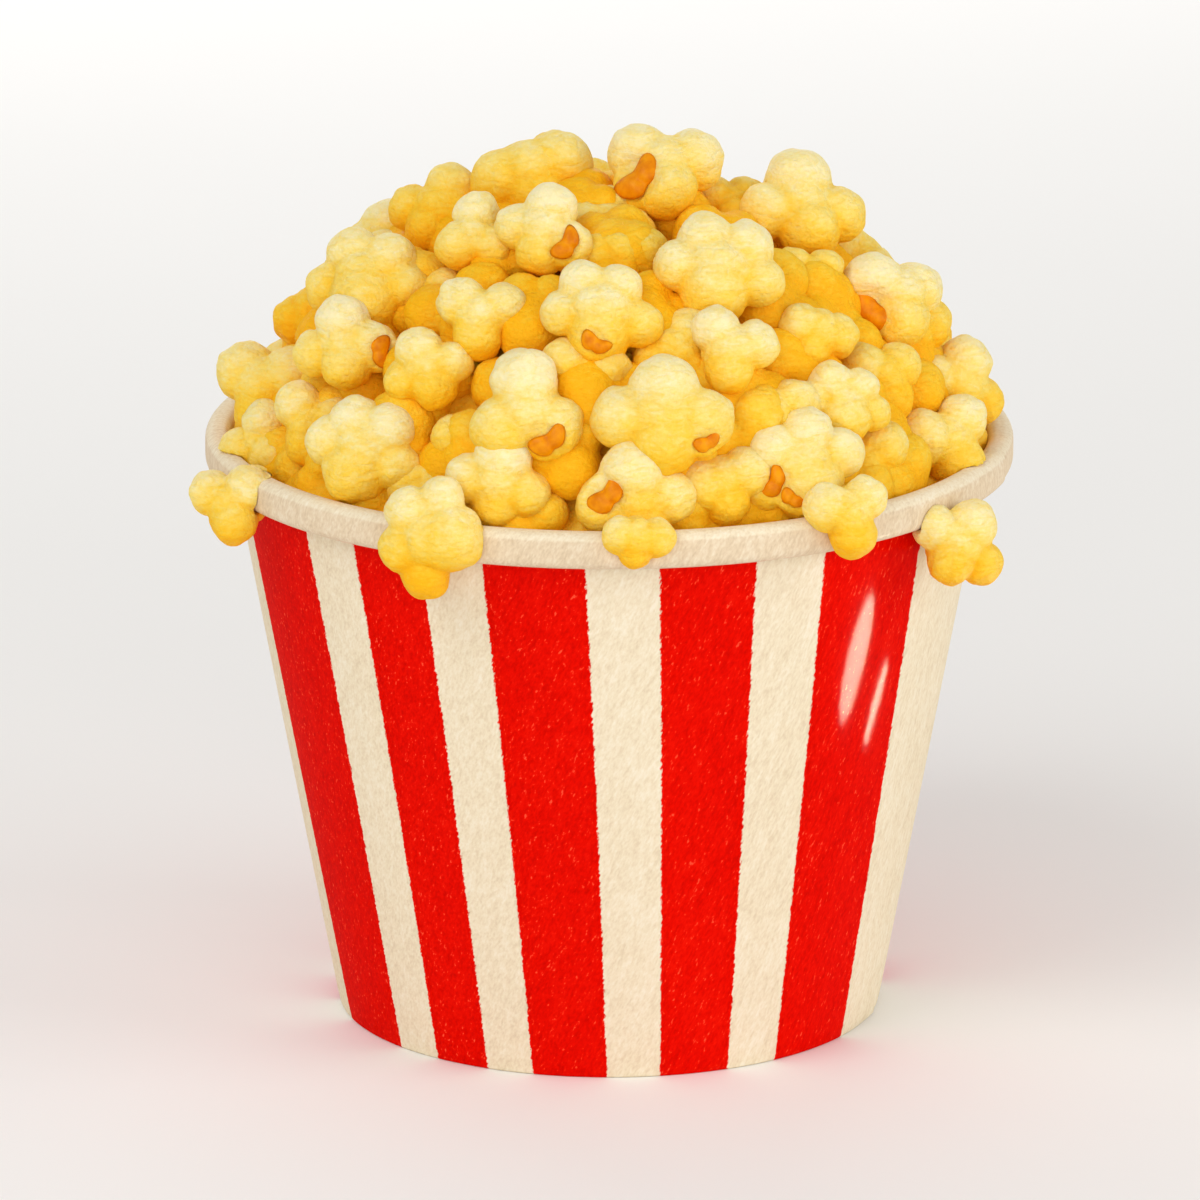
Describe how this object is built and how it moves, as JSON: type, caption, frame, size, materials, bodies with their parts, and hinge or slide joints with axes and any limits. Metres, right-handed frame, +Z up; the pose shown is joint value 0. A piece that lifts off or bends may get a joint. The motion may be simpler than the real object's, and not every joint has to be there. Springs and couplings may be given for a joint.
{
  "type": "popcorn bucket",
  "caption": "Round tapered paper bucket with vertical red and cream stripes and a rolled rim, heaped above the rim with buttered popcorn that spills over its edge.",
  "frame": {"origin": "on the table, at the middle of the bucket's foot", "axes": "+Z up along the bucket's axis; the front of the heap and of the stripes faces -Y, and the sleeve's lapped seam is close to +X"},
  "size_m": [0.1785, 0.1864, 0.1997],
  "materials": {
    "printed_paper": "cream board printed with red stripes, lightly coated",
    "plain_paper": "uncoated cream board",
    "popcorn": null
  },
  "bodies": {
    "root": {"bucket_sleeve": "printed_paper", "base_disc": "plain_paper", "popcorn_heap": "popcorn", "rim_flake_1": "popcorn", "rim_flake_2": "popcorn", "rim_flake_3": "popcorn", "rim_flake_4": "popcorn", "rim_flake_5": "popcorn", "rim_flake_6": "popcorn", "rim_flake_7": "popcorn"}
  },
  "joints": []
}
